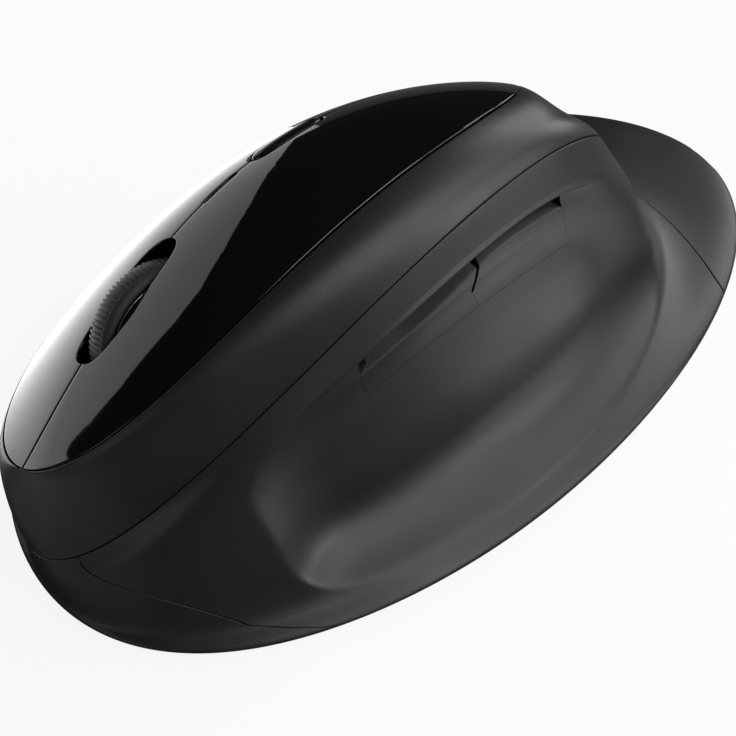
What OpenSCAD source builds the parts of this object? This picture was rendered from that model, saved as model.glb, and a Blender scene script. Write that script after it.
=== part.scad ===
// Right-handed vertical ergonomic mouse, wireless, with two glossy main keys, scroll wheel,
// resolution key and two side keys in a thumb scoop. Millimetres, +Y front, +X palm side, +Z up.

/* [Foot outline] */
// Reach of the outline to the front
foot_front = 62.8; // [60:0.1:66]
// Reach of the outline to the rear
foot_rear = 64.1; // [61:0.1:68]
// Reach of the outline to the thumb side
foot_left = 40.3; // [39:0.1:43]
// Reach of the outline to the palm side
foot_right = 38; // [36:0.1:42]
// Height of the widest edge
foot_edge = 2.6; // [2.2:0.1:3.4]
// How far the underside tucks in below the widest edge
foot_tuck = 1.8; // [1.2:0.1:2.4]
// Height of the shells above the desk
ground_gap = 0.8; // [0.6:0.1:1.2]

/* [Top panel] */
// Height of the panel's front tip
rim_front_z = 25.5; // [23:0.1:27]
// Reach of the panel's thumb edge
rim_left_x = 15; // [14:0.1:16]
// Height of the panel's thumb edge
rim_left_z = 54.5; // [53:0.1:57]
// Reach of the panel's rear tip
rim_rear_y = 21; // [20:0.1:24]
// Height of the panel's rear tip
rim_rear_z = 48.5; // [47:0.1:50]
// Reach of the panel's palm edge
rim_right_x = 19; // [18:0.1:21]
// Height of the panel's palm edge
rim_right_z = 27.5; // [26.5:0.1:29]
// Rise of the panel above its edges
crown_rise = 8.8; // [8.4:0.1:9.6]
// How far the top of the rise leans to the rear
crown_lean = 0.08; // [0.04:0.01:0.1]

/* [Parting line] */
// Height of the parting line at the front
part_front_z = 9.5; // [9:0.1:10.5]
// Reach of the parting line on the thumb side
part_left_x = 22; // [21.5:0.1:23]
// Height of the parting line on the thumb side
part_left_z = 50.2; // [49.8:0.1:51]
// Height of the parting line at the rear
part_rear_z = 32; // [31:0.1:33.5]
// Height of the parting line on the palm side
part_right_z = 17.4; // [17:0.1:19]

/* [Thumb side] */
// Swell of the parting line above the thumb
part_swell = 3.3; // [2:0.1:4]
// How far the brow sinks in towards the front
brow_sink = 1.6; // [0.5:0.1:2]
// Depth of the scoop
scoop_depth = 4.2; // [2:0.1:5]
// Angle around the body at the middle of the scoop
scoop_mid = 100; // [96:1:104]
// Half the angle that the scoop spans
scoop_half = 52; // [48:1:54]
// Angle in front of the middle over which the scoop keeps its section
scoop_level = 28; // [20:1:30]
// Share of the scoop that keeps the full depth
scoop_flat = 0.42; // [0.3:0.02:0.6]
// Rounding of the crease at the foot of the scoop, as a share of its slope
scoop_round = 0.1; // [0.06:0.02:0.2]
// How much deeper the scoop gets towards its foot
scoop_under = 0.4; // [0:0.05:0.5]

/* [Walls and gaps] */
// Wall of the shells
wall = 1.8; // [1.5:0.1:2.1]
// Wall of the main keys
key_wall = 1.8; // [1.5:0.1:2]
// Gap around the main keys
key_gap = 0.35; // [0.3:0.05:0.5]
// Gap along the middle between the main keys
middle_gap = 0.3; // [0.25:0.05:0.4]
// Gap between neighbouring fixed pieces
seam_gap = 0.3; // [0.2:0.05:0.4]
// Thickness of the base plate
base_wall = 1.8; // [1.6:0.1:2.2]

/* [Wheel] */
// Diameter over the tyre
wheel_d = 24; // [22:0.5:25]
// Width of the tyre
wheel_w = 5.3; // [4.8:0.1:5.5]
// Thickness of the tyre
tyre_t = 1.6; // [1.4:0.1:2]
// Radius of the tyre's crown across its width
wheel_crown = 7; // [6:0.5:10]
// How far the wheel stands out of the panel
wheel_proud = 1.9; // [1.5:0.1:2.4]
// Grooves around the tyre
wheel_grooves = 56; // [40:2:64]
// Diameter of the axle
axle_d = 3; // [2.6:0.1:3.4]
// Half the width of the wheel opening
wheel_slot = 3.5; // [3.4:0.1:3.8]

/* [Keys] */
// Width of the resolution key
dpi_w = 3.4; // [3:0.1:3.8]
// Gap at the ends of the resolution key
dpi_gap = 0.5; // [0.4:0.05:0.7]
// How far the resolution key stands out
dpi_proud = 0.9; // [0.6:0.1:1.2]
// Depth of the groove above the side keys
slit_depth = 1.2; // [0.9:0.1:1.3]

/* [Inside] */
// Diameter of the AA cell
cell_d = 14.5; // [14:0.1:14.5]
// Length of the AA cell with its nub
cell_l = 50.5; // [49.5:0.1:50.5]
// Thickness of the circuit boards
board_t = 1.6; // [1.2:0.1:1.8]
// Height of the main board's posts
post_h = 4; // [3.8:0.1:4.6]
// Diameter of the screw shanks
screw_d = 1.8; // [1.6:0.1:2]
// Diameter of the screw heads
screw_head_d = 3.8; // [3.4:0.1:4]

// Piece to draw

/* [Hidden] */
$fn = 48;
base_top = ground_gap + base_wall;
// Seven closed lines from the ground up: front, thumb, rear and palm points,
// then outward pushes at the four corners between them, and a swell with its angle
foot_line = [[[-13.5, foot_front - foot_tuck, ground_gap],
    [foot_tuck - foot_left - 0.3, -3.5, ground_gap],
    [0.4, foot_tuck + 0.4 - foot_rear, ground_gap],
    [foot_right - foot_tuck + 0.3, 10, ground_gap]], [-1.5, -1.1, -0.8, 0]];
edge_line = [[[-14.5, foot_front, foot_edge], [-foot_left, -3.5, foot_edge],
    [0.4, -foot_rear, foot_edge + 0.3], [foot_right, 10, foot_edge]], [-1.5, -1.1, -0.8, 0]];
lip_line = [[[-12.5, foot_front - 0.1, foot_edge + 1.2], [2.6 - foot_left, -2.5, foot_edge + 3.3],
    [0, 15 - foot_rear, foot_edge + 4.4], [foot_right - 3.5, 8, foot_edge + 2.4]], [-1, -2, -1.5, 0]];
waist_line = [[[-10, foot_front - 0.4, 5.6], [7.8 - foot_left, 0, 24], [-7, 25 - foot_rear, 15.5],
    [foot_right - 6, 9, 10.3]], [1, 0, 0, 0]];
swell_way = [-0.51, 0.4, 0.76];
brow_line = [[[-8, foot_front - 0.6, part_front_z - 2], [-3.2 - part_left_x, 3, part_left_z - 3.8],
    [-8.5, -35.3, part_rear_z - 4.7], [30, 12.5, part_right_z - 1.6]], [4, -2, 0, -1],
    -brow_sink * swell_way, 42];
part_line = [[[-7.5, foot_front - 0.7, part_front_z], [-part_left_x, -0.7, part_left_z],
    [-6.7, -30.3, part_rear_z], [28.7, 17, part_right_z]], [1.5, -1.5, 0, -1.5],
    part_swell * swell_way, 62];
rim_line = [[[-2.5, foot_front - 1.3, rim_front_z], [-rim_left_x, 16.5, rim_left_z],
    [-4.5, -rim_rear_y, rim_rear_z], [rim_right_x, 25.5, rim_right_z]], [5.5, 0, 0, 0]];
lines = [foot_line, edge_line, lip_line, waist_line, brow_line, part_line, rim_line];
crown = [2.5, -1.2, crown_rise];

function reach(p) = max(norm(p), 0.000001);
function unit(p) = p / reach(p);
function mix(a, b, f) = a * (1 - f) + b * f;
function smooth(x, a, b) = let (q = min(1, max(0, (x - a) / (b - a)))) q * q * (3 - 2 * q);
function corner(a, at) = pow(max(0, cos(a - at)), 4) * [-sin(at), cos(at), 0];
function ring(line, a) =
    let (p = line[0], q = line[1])
    (p[0] + p[1] + p[2] + p[3]) / 4
    + (p[0] - p[2]) / 2 * cos(a)
    + (p[1] - p[3]) / 2 * sin(a)
    + (p[0] - p[1] + p[2] - p[3]) / 4 * cos(2 * a)
    + q[0] * corner(a, 45) + q[1] * corner(a, 135) + q[2] * corner(a, 225) + q[3] * corner(a, 315)
    + (len(line) < 3 ? [0, 0, 0] : pow(max(0, cos(a - line[3])), 4) * line[2]);

// Glossy top panel: t runs from the front tip to the rear tip, s from the thumb edge to the palm edge
function panel(t, s) =
    let (l = ring(rim_line, 180 * t), r = ring(rim_line, 360 - 180 * t))
    let (c = (l + r) / 2 + (pow(sin(180 * t), 2) - crown_lean * sin(360 * t)) * crown)
    l * s * (s - 1) / 2 + c * (1 - s * s) + r * s * (s + 1) / 2;
function panel_across(t, s) = (panel(t, s + 0.02) - panel(t, s - 0.02)) / 0.04;
function panel_along(t, s) = (panel(t + 0.004, s) - panel(t - 0.004, s)) / 0.008;
function panel_normal(t, s) = unit(cross(panel_along(t, s), panel_across(t, s)));
// Share of s that a width square to the seam takes up
function share(t, s, w) =
    let (along = panel_along(t, s))
    w * norm(along) / norm(cross(along, panel_across(t, s)));

// Side of the body: a is the angle from the front over the thumb side, v climbs through the lines
function knot(k, a) =
    let (b = (a + 720) % 360)
    k < 7 ? ring(lines[k], b) : b <= 180 ? panel(b / 180, -0.6) : panel((360 - b) / 180, 0.6);
// The scoop starts with a crease at the lip and at its front end and fades out softly under the brow
function scoop(a, v) =
    let (level = a < scoop_mid ? scoop_level : 0)
    let (past = max(0, abs(a - scoop_mid) - level) / (scoop_half - level))
    let (e = pow(pow(abs(v - 3.03) / 1.03, 4) + pow(past, 4), 0.25))
    let (u = min(1, max(0, (1 - e) / (1 - scoop_flat))), r = scoop_round)
    let (c = (norm([u, r]) - r) / (norm([1, r]) - r))
    let (depth = scoop_depth * (1 + scoop_under * max(0, 3.3 - v)))
    let (crisp = max(smooth(v, 3.4, 2.6), smooth(a, 71, 58)))
    depth * mix(smooth(u, 0, 1), c * (2 - c), crisp) * [1, 0.1, 0];
function side(a, v) =
    let (k = min(floor(v), 5), f = v - k)
    let (p0 = knot(k, a), p1 = knot(k + 1, a), p2 = knot(k + 2, a), pm = k > 0 ? knot(k - 1, a) : p0)
    let (h = reach(p1 - p0), hm = reach(p0 - pm), hp = reach(p2 - p1))
    let (d = (p1 - p0) / h)
    let (m0 = k == 0 ? d : ((p0 - pm) / hm * h + d * hm) / (hm + h))
    let (m1 = (d * hp + (p2 - p1) / hp * h) / (h + hp))
    p0 * (2 * f * f * f - 3 * f * f + 1) + m0 * h * (f * f * f - 2 * f * f + f)
    + p1 * (3 * f * f - 2 * f * f * f) + m1 * h * (f * f * f - f * f) + scoop(a, v);
function side_normal(a, v) =
    let (e = min(v + 0.03, 6), b = max(v - 0.03, 0))
    unit(cross(side(a + 0.5, v) - side(a - 0.5, v), side(a, e) - side(a, b)));

// Inner face of the shells: straight walls around the base plate, then one wall behind the outer face
function inward(a) = unit(cross([0, 0, 1], ring(foot_line, a + 1) - ring(foot_line, a - 1)));
function foot_rim(a) = 3 + 9 * pow(max(0, -cos(a)), 4);
function foot_inner(a, z, more) =
    let (p = ring(foot_line, a) + (foot_rim(a) + more) * inward(a))
    [p.x, p.y, z];
function shell_inner(a, v) =
    v >= 2 ? side(a, v) - wall * side_normal(a, v)
    : v <= 1 ? foot_inner(a, mix(ground_gap, base_top + seam_gap, v), 0)
    : mix(foot_inner(a, base_top + seam_gap, 0), side(a, 2) - wall * side_normal(a, 2), v - 1);

// Inner face of the top frame, turned to the panel's own normal at the rim
function frame_inner(a, v) =
    let (t = min(0.98, max(0.02, a <= 180 ? a / 180 : 2 - a / 180)), s = a <= 180 ? -1 : 1)
    side(a, v) - wall * unit(mix(side_normal(a, v), panel_normal(t, s), smooth(v, 5.3, 6)));

outline = [for (a = [0:2:358]) ring(edge_line, a)];
centre = [(max([for (p = outline) p.x]) + min([for (p = outline) p.x])) / 2,
    (max([for (p = outline) p.y]) + min([for (p = outline) p.y])) / 2, 0];

// Seams of the thumb panel at its front and rear ends
function front_seam(v) = 10 + 30 * pow((5 - v) / 3.1, 1.5);
function rear_seam(v) = 136 + 40 * pow(min(1, max(0, v - 1)), 2.5);
seam_turn = 0.3;
key_a = [71.5, 94, 118];
key_v = [3.45, 3.84, 3.94];

// Half the opening between the main keys along the panel
wheel_t = [0.253, 0.421];
slit_t = [0.462, 0.508];
dpi_t = [0.524, 0.615];
key_t = [0.0615, 0.955];
function bow(t, span, round) =
    t <= span[0] || t >= span[1] ? 0
    : sqrt(1 - pow(abs(2 * (t - span[0]) / (span[1] - span[0]) - 1), round));
function opening(t, blunt) =
    middle_gap / 2 + (wheel_slot - middle_gap / 2) * bow(t, wheel_t, blunt)
    + 0.35 * bow(t, slit_t, 8) + (dpi_w / 2 + 0.25) * bow(t, dpi_t, 4);
function steps(from, to, n) = [for (i = [0:n - 1]) mix(from, to, i / n)];
key_stations = concat(steps(key_t[0], wheel_t[0], 8), steps(wheel_t[0], wheel_t[1], 12),
    steps(wheel_t[1], slit_t[0], 2), steps(slit_t[0], slit_t[1], 4), [slit_t[1]],
    steps(dpi_t[0], dpi_t[1], 10), steps(dpi_t[1], key_t[1], 11), [key_t[1]]);

// Frames on the surface: wheel, resolution key and side keys
function turn(x, y, z) = [atan2(y.z, z.z), asin(-x.z), atan2(x.y, x.x)];
function local(p, at, x, y, z) = [(p - at) * x, (p - at) * y, (p - at) * z];
wheel_mid = 0.34;
wheel_z = panel_normal(wheel_mid, 0);
wheel_y = -unit(panel_along(wheel_mid, 0));
wheel_x = cross(wheel_y, wheel_z);
wheel_at = panel(wheel_mid, 0) - wheel_z * (wheel_d / 2 - wheel_proud);
dpi_mid = (dpi_t[0] + dpi_t[1]) / 2;
dpi_z = panel_normal(dpi_mid, 0);
dpi_y = -unit(panel_along(dpi_mid, 0));
dpi_x = cross(dpi_y, dpi_z);
dpi_at = panel(dpi_mid, 0);
slit_mid = (slit_t[0] + slit_t[1]) / 2;
slit_z = panel_normal(slit_mid, 0);
slit_y = -unit(panel_along(slit_mid, 0));
slit_x = cross(slit_y, slit_z);
slit_at = panel(slit_mid, 0);
key_mid_v = 3.66;
thumb_z = side_normal(key_a[1], key_mid_v);
thumb_x = unit(side(key_a[1] + 2, key_mid_v) - side(key_a[1] - 2, key_mid_v));
thumb_y = cross(thumb_z, thumb_x);
thumb_at = side(key_a[1], key_mid_v);

module placed() { translate(-centre) children(); }
module at_wheel() { translate(wheel_at) rotate(turn(wheel_x, wheel_y, wheel_z)) children(); }
module at_dpi() { translate(dpi_at) rotate(turn(dpi_x, dpi_y, dpi_z)) children(); }
module at_slit() { translate(slit_at) rotate(turn(slit_x, slit_y, slit_z)) children(); }
module at_thumb() { translate(thumb_at) rotate(turn(thumb_x, thumb_y, thumb_z)) children(); }

// Closed skin between an outer and an inner grid; loop joins the last column to the first
// and hole leaves out the cells [first column, last column, first row, last row]
module skin(outer, inner, loop = false, hole = [0, 0, 0, 0]) {
    n = len(outer);
    m = len(outer[0]);
    cols = loop ? n : n - 1;
    function o(i, j) = (i % n) * m + j;
    function q(i, j) = n * m + (i % n) * m + j;
    function kept(i, j) =
        (loop || (i >= 0 && i < cols)) && j >= 0 && j < m - 1
        && !(i >= hole[0] && i < hole[1] && j >= hole[2] && j < hole[3]);
    function quad(a, b, c, d) = [[a, b, c], [a, c, d]];
    faces = [for (i = [0:cols - 1]) for (j = [0:m - 2]) if (kept(i, j)) each concat(
        quad(o(i, j), o(i, j + 1), o(i + 1, j + 1), o(i + 1, j)),
        quad(q(i, j), q(i + 1, j), q(i + 1, j + 1), q(i, j + 1)),
        kept(i, j - 1) ? [] : quad(o(i, j), o(i + 1, j), q(i + 1, j), q(i, j)),
        kept(i, j + 1) ? [] : quad(o(i + 1, j + 1), o(i, j + 1), q(i, j + 1), q(i + 1, j + 1)),
        kept(i - 1, j) ? [] : quad(o(i, j + 1), o(i, j), q(i, j), q(i, j + 1)),
        kept(i + 1, j) ? [] : quad(o(i + 1, j + 1), q(i + 1, j + 1), q(i + 1, j), o(i + 1, j)))];
    polyhedron(concat([for (c = outer) each c], [for (c = inner) each c]), faces);
}

module stadium(l, w) {
    square([w, l - w], center = true);
    for (y = [-1, 1]) translate([0, y * (l - w) / 2]) circle(d = w);
}

// Shells

shell_rows = [0, 0.5, 1, 1.35, 1.7, 2, 2.25, 2.6, 3, 3.4, 3.8, 4.3, 4.95];
module lower_shell() {
    cols = [for (i = [0:54]) i / 54];
    function angle(f, v) = mix(rear_seam(v) + seam_turn, 360 + front_seam(v) - seam_turn, f);
    outer = [for (f = cols) [for (v = shell_rows) side(angle(f, v), v)]];
    inner = [for (f = cols) [for (v = shell_rows) shell_inner(angle(f, v), v)]];
    color("#1c1d1f") placed() skin(outer, inner);
}

thumb_rows = [0, 0.5, 1, 1.35, 1.7, 2, 2.15, 2.35, 2.55, 2.85, 3.18, key_v[0], 3.65, key_v[1], key_v[2],
    4.2, 4.55, 4.95];
thumb_cols = [12, 18, 14];
module thumb_panel() {
    function angle(i, v) =
        i < thumb_cols[0] ? mix(front_seam(v) + seam_turn, key_a[0], i / thumb_cols[0])
        : i < thumb_cols[0] + thumb_cols[1] ? mix(key_a[0], key_a[2], (i - thumb_cols[0]) / thumb_cols[1])
        : mix(key_a[2], rear_seam(v) - seam_turn, (i - thumb_cols[0] - thumb_cols[1]) / thumb_cols[2]);
    last = thumb_cols[0] + thumb_cols[1] + thumb_cols[2];
    outer = [for (i = [0:last]) [for (v = thumb_rows) side(angle(i, v), v)]];
    // The brow is too tight for a full wall behind it, so the wall thins along the groove
    function thin(v) = v < key_v[2] || v > 4.4 ? 1 : 0.55;
    inner = [for (i = [0:last]) [for (v = thumb_rows)
        mix(side(angle(i, v), v), shell_inner(angle(i, v), v), thin(v))]];
    color("#242528") placed()
        skin(outer, inner, hole = [thumb_cols[0], thumb_cols[0] + thumb_cols[1], 11, 14]);
}

frame_rows = [5.02, 5.2, 5.4, 5.6, 5.8, 6];
module top_frame() {
    outer = [for (a = [0:5:355]) [for (v = frame_rows) side(a, v)]];
    inner = [for (a = [0:5:355]) [for (v = frame_rows) frame_inner(a, v)]];
    color("#202124") placed() skin(outer, inner, loop = true);
}

// Main keys: hand -1 is the thumb half, 1 the palm half
key_draft = 0.5;
tip_draft = [0.009, 0.02];
// The wheel opening is an eye on the face and blunter underneath, where the wheel is longer
slot_blunt = [3, 9];
module main_key(hand) {
    function across(t, f, blunt, more) =
        let (from = share(t, 0, opening(t, blunt)), to = 1 - share(t, hand, key_gap + more))
        hand < 0 ? mix(-to, -from, f) : mix(from, to, f);
    function under(t, s) = panel(t, s) - key_wall * panel_normal(t, s);
    outer = [for (t = key_stations) [for (j = [0:7]) panel(t, across(t, j / 7, slot_blunt[0], 0))]];
    function drawn(t) = min(max(t, key_t[0] + tip_draft[0]), key_t[1] - tip_draft[1]);
    inner = [for (t = key_stations) [for (j = [0:7])
        under(drawn(t), across(drawn(t), j / 7, slot_blunt[1], key_draft))]];
    color("#0b0b0c") placed() skin(outer, inner);
}
module left_button() { main_key(-1); }
module right_button() { main_key(1); }

// Side keys: a tongue that pivots on its lower edge, with a slanted flange in the groove above it;
// between the two keys the gap opens to a notch at the groove
key_end = 0.5;
key_notch = [0.15, 0.45];
notch_v = 3.71;
module side_key(from, to, notched) {
    thick = wall + 0.3;
    rows = [[key_v[0] + 0.012, 0, thick], [3.58, 0, thick], [notch_v, 0, thick],
        [notch_v + 0.03, 0, thick], [key_v[1], 0, thick], [key_v[2] - 0.036, slit_depth, slit_depth + 0.5]];
    function gap(end, v) = end != notched ? key_end : v > notch_v ? key_notch[1] : key_notch[0];
    function angle(i, v) = mix(from + gap(0, v), to - gap(1, v), i / 9);
    function sunk(a, v, depth) = side(a, v) - depth * side_normal(a, v);
    outer = [for (i = [0:9]) [for (r = rows) sunk(angle(i, r[0]), r[0], r[1])]];
    inner = [for (i = [0:9]) [for (r = rows) sunk(angle(i, r[0]), r[0], r[2])]];
    color("#242528") placed() skin(outer, inner);
}
module forward_button() { side_key(key_a[0], key_a[1], 1); }
module back_button() { side_key(key_a[1], key_a[2], 0); }

// Resolution key with its stem, and the light pipe in front of it
dpi_stem = 2.6;
module dpi_button() {
    half = (dpi_t[1] - dpi_t[0]) / 2 - dpi_gap / norm(panel_along(dpi_mid, 0));
    stations = [for (i = [0:12]) sin(90 * (i / 6 - 1))];
    function wide(u) = dpi_w / 2 * max(0.12, sqrt(1 - pow(u, 4)));
    function dome(u, f) = dpi_proud * (1 - pow(u, 6)) * (1 - 0.5 * f * f);
    function lifted(t, s, h) = panel(t, s) + h * panel_normal(t, s);
    function place(u, f, h) = let (t = dpi_mid + u * half) lifted(t, f * share(t, 0, wide(u)), h);
    outer = [for (u = stations) [for (f = [-1:0.5:1]) place(u, f, dome(u, f))]];
    inner = [for (u = stations) [for (f = [-1:0.5:1]) place(u, f, -key_wall)]];
    color("#141416") placed() {
        skin(outer, inner);
        at_dpi() translate([0, 0, -key_wall - dpi_stem]) cylinder(h = dpi_stem + 0.4, d = 2.4);
    }
}
module indicator_lens() {
    l = 0.6 * norm(panel(slit_t[1], 0) - panel(slit_t[0], 0));
    color("#d8dde0") placed() at_slit() translate([0, 0, -3.2]) linear_extrude(2.8) stadium(l, 0.45);
}

// Wheel

axle_fit = 0.05;
hub_d = wheel_d - 2 * tyre_t;
module wheel_tyre() {
    color("#161617") placed() at_wheel() rotate([0, 90, 0]) difference() {
        rotate_extrude() translate([hub_d / 2, 0]) intersection() {
            translate([0, -wheel_w / 2]) square([(wheel_d - hub_d) / 2, wheel_w]);
            translate([wheel_d / 2 - hub_d / 2 - wheel_crown, 0]) circle(r = wheel_crown);
        }
        for (i = [0:wheel_grooves - 1]) rotate(i * 360 / wheel_grooves)
            translate([wheel_d / 2 - 0.5, -0.3, -wheel_w * 0.2]) cube([2, 0.6, wheel_w]);
    }
}
hub_rim = 1.4;
hub_boss = axle_d / 2 + 1.2;
hub_web = hub_d / 2 - hub_rim - hub_boss;
module wheel_hub() {
    bore = axle_d / 2 + 0.02;
    face = wheel_w / 2;
    half = [[bore, face + 0.6], [hub_boss, face + 0.6], [hub_boss, face - 1.2],
        [hub_d / 2 - hub_rim, face - 1.2], [hub_d / 2 - hub_rim, face - 0.3],
        [hub_d / 2 - 0.02, face - 0.3]];
    back = [for (i = [len(half) - 1:-1:0]) [half[i][0], -half[i][1]]];
    color("#2a2b2d") placed() at_wheel() rotate([0, 90, 0]) difference() {
        rotate_extrude() polygon(concat(half, back));
        for (i = [0:5]) rotate(i * 60) translate([hub_boss + hub_web / 2, 0, -wheel_w])
            cylinder(h = 2 * wheel_w, d = hub_web - 1.6);
    }
}
module wheel_trim() {
    color("#b9bcc0") placed() at_wheel() rotate([0, 90, 0]) for (s = [-1, 1])
        translate([0, 0, s * (wheel_w / 2 - 0.15) - 0.15]) rotate_extrude()
            translate([hub_d / 2 - 1, 0]) square([0.6, 0.3]);
}
board_drop = 10.95;
board_z = wheel_d / 2 - wheel_proud - board_drop;
cheek_x = wheel_w / 2 + 1.3;
cheek_t = 1.5;
cheek_y = axle_d / 2 + 0.8;
carrier_low = wheel_d / 2 + 1.6;
arm_x = 2;
arm_y = -wheel_d / 2 - 4;
arm_z = board_z + 4.4;
arm_t = 1.8;
pin_d = axle_d - 1.2;
module wheel_axle() {
    color("#9a9da0") placed() at_wheel() rotate([0, 90, 0]) {
        translate([0, 0, -cheek_x - cheek_t]) cylinder(h = 2 * (cheek_x + cheek_t) - 0.1, d = axle_d);
        cylinder(h = cheek_x + cheek_t + 2.4, d = pin_d);
    }
}
module wheel_carrier() {
    far = cheek_x + cheek_t;
    color("#3a3d42") placed() at_wheel() difference() {
        union() {
            for (s = [-1, 1]) translate([s * (cheek_x + cheek_t / 2), 0, 0]) {
                rotate([0, 90, 0]) cylinder(h = cheek_t, r = cheek_y, center = true);
                translate([-cheek_t / 2, -cheek_y, -carrier_low - arm_t])
                    cube([cheek_t, 2 * cheek_y, carrier_low + arm_t]);
            }
            translate([-far, -cheek_y, -carrier_low - arm_t]) cube([2 * far, 2 * cheek_y, arm_t]);
            translate([cheek_x, -cheek_y, 0]) cube([cheek_t, 2 * cheek_y, arm_z + arm_t]);
            translate([cheek_x, arm_y - 1.5, arm_z]) cube([cheek_t, -arm_y, arm_t]);
            translate([arm_x - 1.5, arm_y - 1.5, arm_z]) cube([far - arm_x + 1.5, 3, arm_t]);
        }
        rotate([0, 90, 0]) cylinder(h = 60, d = axle_d + 2 * axle_fit, center = true);
    }
}
module wheel_encoder() {
    x = cheek_x + cheek_t + 0.02;
    color("#4a4033") placed() at_wheel() difference() {
        translate([x, -4, -5]) cube([2.8, 8, 6.5]);
        rotate([0, 90, 0]) cylinder(h = 60, d = pin_d + 2 * axle_fit, center = true);
    }
}

// Tilted board under the main keys, carried by a frame on three legs

frame_t = 2;
frame_low = board_z - board_t - 0.05 - frame_t;
window_x = [-cheek_x - cheek_t - 0.5, cheek_x + cheek_t + 3.3];
window_y = wheel_d / 2 + 0.6;
legs = [[-13.6, 45.2], [5.5, 44.2], [-11.5, 20.5]];
leg_d = 4.6;
dpi_leg = [0.2, 9.5];
dpi_leg_d = 3.4;
function plane_height(p, at, z) = at.z - ((p.x - at.x) * z.x + (p.y - at.y) * z.y) / z.z;
module board_shape(inset) {
    difference() {
        offset(delta = -inset) polygon([[-13.3, -window_y - 6], [-13.3, 1], [-8, window_y + 1.8],
            [15, window_y + 2.2], [17.5, window_y], [17.5, -2], [13, -window_y - 6]]);
        translate([window_x[0] - inset, -window_y - inset])
            square([window_x[1] - window_x[0] + 2 * inset, 2 * (window_y + inset)]);
    }
}
module leg(p, d, at, z, low) {
    difference() {
        translate([p.x, p.y, base_top])
            cylinder(h = plane_height(p, at + low * z, z) - base_top + d, d = d);
        children();
        translate([p.x, p.y, 0]) cylinder(h = base_top + 7, d = screw_d);
    }
}
module board_frame() {
    color("#33363b") placed() {
        at_wheel() translate([0, 0, frame_low]) linear_extrude(frame_t) board_shape(0);
        for (p = legs) leg(p, leg_d, wheel_at, wheel_z, frame_low)
            at_wheel() translate([-60, -60, frame_low + frame_t / 2]) cube(120);
    }
}
module button_board() {
    color("#1d5b34") placed() at_wheel() translate([0, 0, board_z - board_t])
        linear_extrude(board_t) board_shape(0.3);
}

// Snap switches under the main keys: the plunger ends a press short of the key
switch_gap = 0.8;
switch_h = 4.6;
module key_switch(t, s) {
    low = panel(t, s) - (key_wall + switch_gap) * panel_normal(t, s);
    tip = local(low, wheel_at, wheel_x, wheel_y, wheel_z);
    color("#2b2b2e") placed() at_wheel() translate([tip.x, tip.y, board_z + 0.02]) {
        translate([-2.9, -6.4, 0]) cube([5.8, 12.8, switch_h]);
        translate([0, 0, switch_h]) cylinder(h = tip.z - board_z - 0.02 - switch_h, d = 1.4);
    }
}
module left_switch() { key_switch(0.352, -0.6); }
module right_switch() { key_switch(0.315, 0.7); }
module middle_switch() {
    color("#2b2b2e") placed() at_wheel() translate([arm_x, arm_y, board_z + 0.02]) {
        translate([-3, -2.5, 0]) cube([6, 5, arm_z - board_z - 1.6]);
        cylinder(h = arm_z - board_z - 0.02 - switch_gap, d = 2.2);
    }
}

// Resolution switch on its own small board and post

dpi_tip = -key_wall - dpi_stem - 0.5;
dpi_board_z = dpi_tip - 3.4;
module dpi_switch() {
    color("#2b2b2e") placed() at_dpi() translate([0, 0, dpi_board_z + 0.02]) {
        translate([-3, -3, 0]) cube([6, 6, 2.6]);
        cylinder(h = dpi_tip - dpi_board_z - 0.02, d = 2.4);
    }
}
module dpi_board() {
    color("#1d5b34") placed() at_dpi() translate([-4, -5, dpi_board_z - board_t]) cube([8, 10, board_t]);
}
module dpi_bracket() {
    low = dpi_board_z - board_t - 0.05 - frame_t;
    color("#33363b") placed() {
        at_dpi() translate([-4, -5, low]) cube([8, 10, frame_t]);
        leg(dpi_leg, dpi_leg_d, dpi_at, dpi_z, low)
            at_dpi() translate([-60, -60, low + frame_t / 2]) cube(120);
    }
}

// Side board behind the side keys, on a bracket with two gussets

side_z = -7;
side_l = 30;
side_w = 9;
press_v = 3.7;
side_gap = 0.55;
function key_tip(a) =
    let (p = side(a, press_v) - (wall + 0.3 + side_gap) * side_normal(a, press_v))
    local(p, thumb_at, thumb_x, thumb_y, thumb_z);
module side_switch(a) {
    tip = key_tip(a);
    color("#2b2b2e") placed() at_thumb() translate([tip.x, tip.y, side_z + 0.02]) {
        translate([-3, -2.2, 0]) cube([6, 4.4, tip.z - side_z - 0.9]);
        cylinder(h = tip.z - side_z - 0.02, d = 2.4);
    }
}
module forward_switch() { side_switch(mix(key_a[0], key_a[1], 0.5)); }
module back_switch() { side_switch(mix(key_a[1], key_a[2], 0.5)); }
module side_board() {
    color("#1d5b34") placed() at_thumb() translate([-side_l / 2, -side_w / 2, side_z - board_t])
        cube([side_l, side_w, board_t]);
}
module side_bracket() {
    back = side_z - board_t - 0.05;
    a = thumb_at + back * thumb_z;
    color("#33363b") placed() {
        at_thumb() translate([1 - side_l / 2, -side_w / 2, back - frame_t])
            cube([side_l - 2, side_w, frame_t]);
        for (x = [-10, 8]) {
            top = a + x * thumb_x + (side_w / 2 - 0.5) * thumb_y - thumb_z;
            low = a + x * thumb_x - (side_w / 2 - 0.5) * thumb_y - thumb_z;
            translate([0, top.y + 1, 0]) rotate([90, 0, 0]) linear_extrude(2)
                polygon([[low.x, low.z], [top.x, top.z], [top.x + 1, base_top], [low.x + 1, base_top]]);
        }
    }
}

// Main board with the movement sensor

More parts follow.
